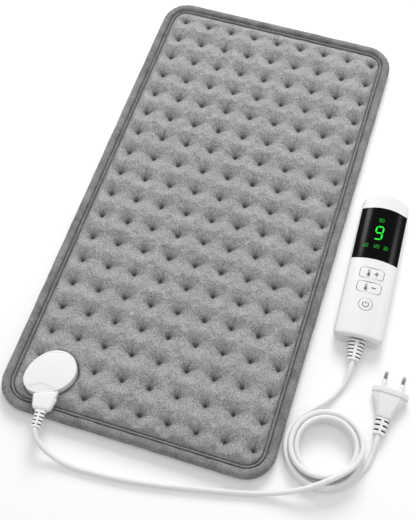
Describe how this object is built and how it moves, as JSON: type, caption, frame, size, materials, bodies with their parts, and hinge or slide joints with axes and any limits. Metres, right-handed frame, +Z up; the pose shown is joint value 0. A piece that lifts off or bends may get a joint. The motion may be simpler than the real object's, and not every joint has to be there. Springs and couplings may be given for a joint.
{
  "type": "heating pad with controller",
  "caption": "Tufted fabric heating pad with a corner socket pod, plug-in lead, coiled cord, handset controller with display and keys, and two-pin mains plug.",
  "frame": {"origin": "centre of the pad's underside, on the surface that everything lies on", "axes": "+Y along the pad's length, away from the pod; +X across it, towards the handset; +Z up"},
  "size_m": [0.4105, 0.621, 0.0235],
  "materials": {
    "plush": "short pile",
    "binding_cloth": "brushed",
    "wadding": "loose",
    "heating_cable": "matte",
    "white_plastic": "satin gloss",
    "white_flex": "satin",
    "black_gloss": "high gloss",
    "black_plastic": "matte",
    "circuit_board": "satin",
    "capacitor_red": "satin",
    "steel": "plated",
    "brass": "plated",
    "fuse_glass": "clear"
  },
  "bodies": {
    "pad": {"pad_top_cover": "plush", "pad_bottom_cover": "binding_cloth", "edge_binding": "binding_cloth", "seam_welt": "binding_cloth", "wadding": "wadding", "heating_wire": "heating_cable", "thermal_cutout": "black_plastic", "pod_base": "white_plastic", "pod_cover": "white_plastic", "pod_screw_1": "steel", "pod_screw_2": "steel", "pod_board": "circuit_board", "socket_contact_left": "brass", "socket_contact_right": "brass"},
    "lead_set": {"connector_body": "white_plastic", "handset_front_shell": "white_plastic", "handset_back_shell": "white_plastic", "mains_plug_body": "white_plastic", "pin_sleeve_left": "white_plastic", "pin_sleeve_right": "white_plastic", "connector_boot": "white_flex", "pad_lead_run": "white_flex", "pad_lead_coil": "white_flex", "mains_lead_run": "white_flex", "mains_lead_coil": "white_flex", "handset_lead": "white_flex", "lead_joint": "white_flex", "handset_boot": "white_flex", "plug_boot": "white_flex", "display_lens": "black_gloss", "display_module": "black_plastic", "control_chip": "black_plastic", "power_triac": "black_plastic", "supply_capacitor": "black_plastic", "warmer_switch": "black_plastic", "cooler_switch": "black_plastic", "power_switch": "black_plastic", "control_board": "circuit_board", "film_capacitor": "capacitor_red", "handset_screw_1": "steel", "handset_screw_2": "steel", "plug_pin_left": "steel", "plug_pin_right": "steel", "connector_blade_left": "brass", "connector_blade_right": "brass", "mains_fuse": "fuse_glass"},
    "warmer_button": {"warmer_key": "white_plastic", "warmer_plunger": "white_flex"},
    "cooler_button": {"cooler_key": "white_plastic", "cooler_plunger": "white_flex"},
    "power_button": {"power_key": "white_plastic", "power_plunger": "white_flex"},
    "left_latch": {"latch_arm_left": "white_plastic"},
    "right_latch": {"latch_arm_right": "white_plastic"}
  },
  "joints": [
    {"name": "connector_unplug", "type": "slide", "parent": "pad", "child": "lead_set", "axis": [0.0872, -0.9962, 0], "range_m": [0, 0.02]},
    {"name": "left_latch_bend", "type": "hinge", "parent": "lead_set", "child": "left_latch", "pos_m": [-0.10336, -0.28547, 0.0183], "axis": [0, 0, -1], "range_deg": [0, 4], "stiffness_Nm_per_rad": 0.1, "springref_deg": -2.86},
    {"name": "right_latch_bend", "type": "hinge", "parent": "lead_set", "child": "right_latch", "pos_m": [-0.08293, -0.28368, 0.0183], "axis": [0, 0, 1], "range_deg": [0, 4], "stiffness_Nm_per_rad": 0.1, "springref_deg": -2.86},
    {"name": "warmer_press", "type": "slide", "parent": "lead_set", "child": "warmer_button", "axis": [0, 0, -1], "range_m": [0, 0.0006], "stiffness_N_per_m": 800, "springref_m": -0.0005},
    {"name": "cooler_press", "type": "slide", "parent": "lead_set", "child": "cooler_button", "axis": [0, 0, -1], "range_m": [0, 0.0006], "stiffness_N_per_m": 800, "springref_m": -0.0005},
    {"name": "power_press", "type": "slide", "parent": "lead_set", "child": "power_button", "axis": [0, 0, -1], "range_m": [0, 0.0006], "stiffness_N_per_m": 800, "springref_m": -0.0005}
  ]
}
